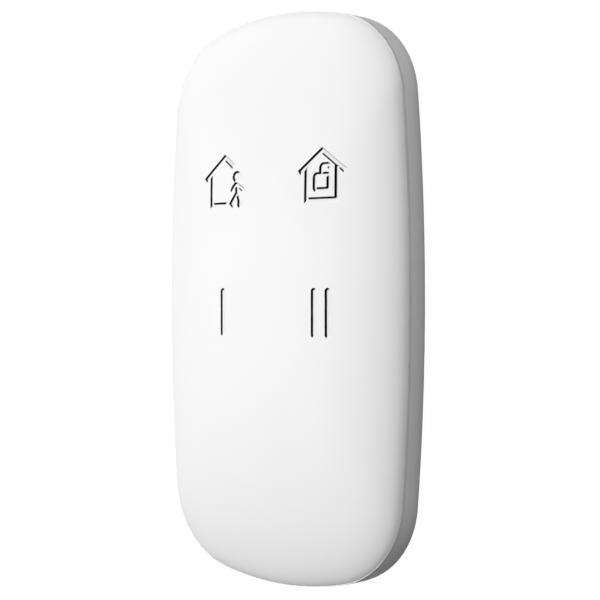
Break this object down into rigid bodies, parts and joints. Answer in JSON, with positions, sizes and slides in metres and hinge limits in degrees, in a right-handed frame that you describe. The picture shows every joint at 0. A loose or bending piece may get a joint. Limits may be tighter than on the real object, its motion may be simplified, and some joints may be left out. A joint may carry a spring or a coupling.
{
  "type": "alarm key fob",
  "caption": "Hand-held alarm key fob with a crowned white front, debossed key symbols, a grey rear shell and a battery door.",
  "frame": {"origin": "middle of the flat back, at the base of the bounding box", "axes": "+Z out of the face with the symbols, +Y along the fob towards its upper end, +X to the right when facing the symbols"},
  "size_m": [0.036, 0.065, 0.0092],
  "materials": {
    "white_skin": "smooth satin white moulding",
    "grey_shell": "smooth satin light grey moulding",
    "steel": "plain steel",
    "nickel_plate": "nickel plated",
    "copper": "bare copper",
    "black_rubber": "black elastomer",
    "black_plastic": "black moulding",
    "electrode": "pressed powder",
    "board_green": "green solder mask",
    "ceramic": "tan ceramic",
    "light_white": "white light package",
    "clear_plastic": "clear moulding"
  },
  "bodies": {
    "case": {"front_cover": "white_skin", "rear_shell": "grey_shell", "keyring_pin": "steel", "case_screws": "steel", "door_seal": "black_rubber", "cell_can": "nickel_plate", "cell_gasket": "black_plastic", "cell_cap": "nickel_plate", "cell_core": "electrode", "negative_contact": "nickel_plate", "positive_contact": "nickel_plate", "circuit_board": "board_green", "antenna": "copper", "radio_chip": "black_plastic", "crystal": "nickel_plate", "capacitors": "ceramic", "resistors": "black_plastic", "status_light": "light_white", "light_guide": "clear_plastic", "switch_bases": "black_plastic", "switch_frames": "nickel_plate", "away_dome": "nickel_plate", "disarm_dome": "nickel_plate", "one_dome": "nickel_plate", "two_dome": "nickel_plate"},
    "away_key": {"away_key": "white_skin"},
    "disarm_key": {"disarm_key": "white_skin"},
    "one_key": {"one_key": "white_skin"},
    "two_key": {"two_key": "white_skin"},
    "away_plunger": {"away_plunger": "black_plastic"},
    "disarm_plunger": {"disarm_plunger": "black_plastic"},
    "one_plunger": {"one_plunger": "black_plastic"},
    "two_plunger": {"two_plunger": "black_plastic"},
    "battery_door": {"battery_door": "grey_shell"}
  },
  "joints": [
    {"name": "away_key_press", "type": "slide", "parent": "case", "child": "away_key", "axis": [0, 0, -1], "range_m": [0, 0.00025], "stiffness_N_per_m": 3000},
    {"name": "away_plunger_press", "type": "slide", "parent": "case", "child": "away_plunger", "axis": [0, 0, -1], "range_m": [0, 0.00025], "deforming": ["away_dome"]},
    {"name": "disarm_key_press", "type": "slide", "parent": "case", "child": "disarm_key", "axis": [0, 0, -1], "range_m": [0, 0.00025], "stiffness_N_per_m": 3000},
    {"name": "disarm_plunger_press", "type": "slide", "parent": "case", "child": "disarm_plunger", "axis": [0, 0, -1], "range_m": [0, 0.00025], "deforming": ["disarm_dome"]},
    {"name": "one_key_press", "type": "slide", "parent": "case", "child": "one_key", "axis": [0, 0, -1], "range_m": [0, 0.00025], "stiffness_N_per_m": 3000},
    {"name": "one_plunger_press", "type": "slide", "parent": "case", "child": "one_plunger", "axis": [0, 0, -1], "range_m": [0, 0.00025], "deforming": ["one_dome"]},
    {"name": "two_key_press", "type": "slide", "parent": "case", "child": "two_key", "axis": [0, 0, -1], "range_m": [0, 0.00025], "stiffness_N_per_m": 3000},
    {"name": "two_plunger_press", "type": "slide", "parent": "case", "child": "two_plunger", "axis": [0, 0, -1], "range_m": [0, 0.00025], "deforming": ["two_dome"]},
    {"name": "battery_door_turn", "type": "hinge", "parent": "case", "child": "battery_door", "pos_m": [0, -0.0115, 0], "axis": [0, 0, 1], "range_deg": [0, 55]}
  ],
  "couplings": [
    {"joint": "away_plunger_press", "follows": "away_key_press", "ratio": 1},
    {"joint": "disarm_plunger_press", "follows": "disarm_key_press", "ratio": 1},
    {"joint": "one_plunger_press", "follows": "one_key_press", "ratio": 1},
    {"joint": "two_plunger_press", "follows": "two_key_press", "ratio": 1}
  ]
}
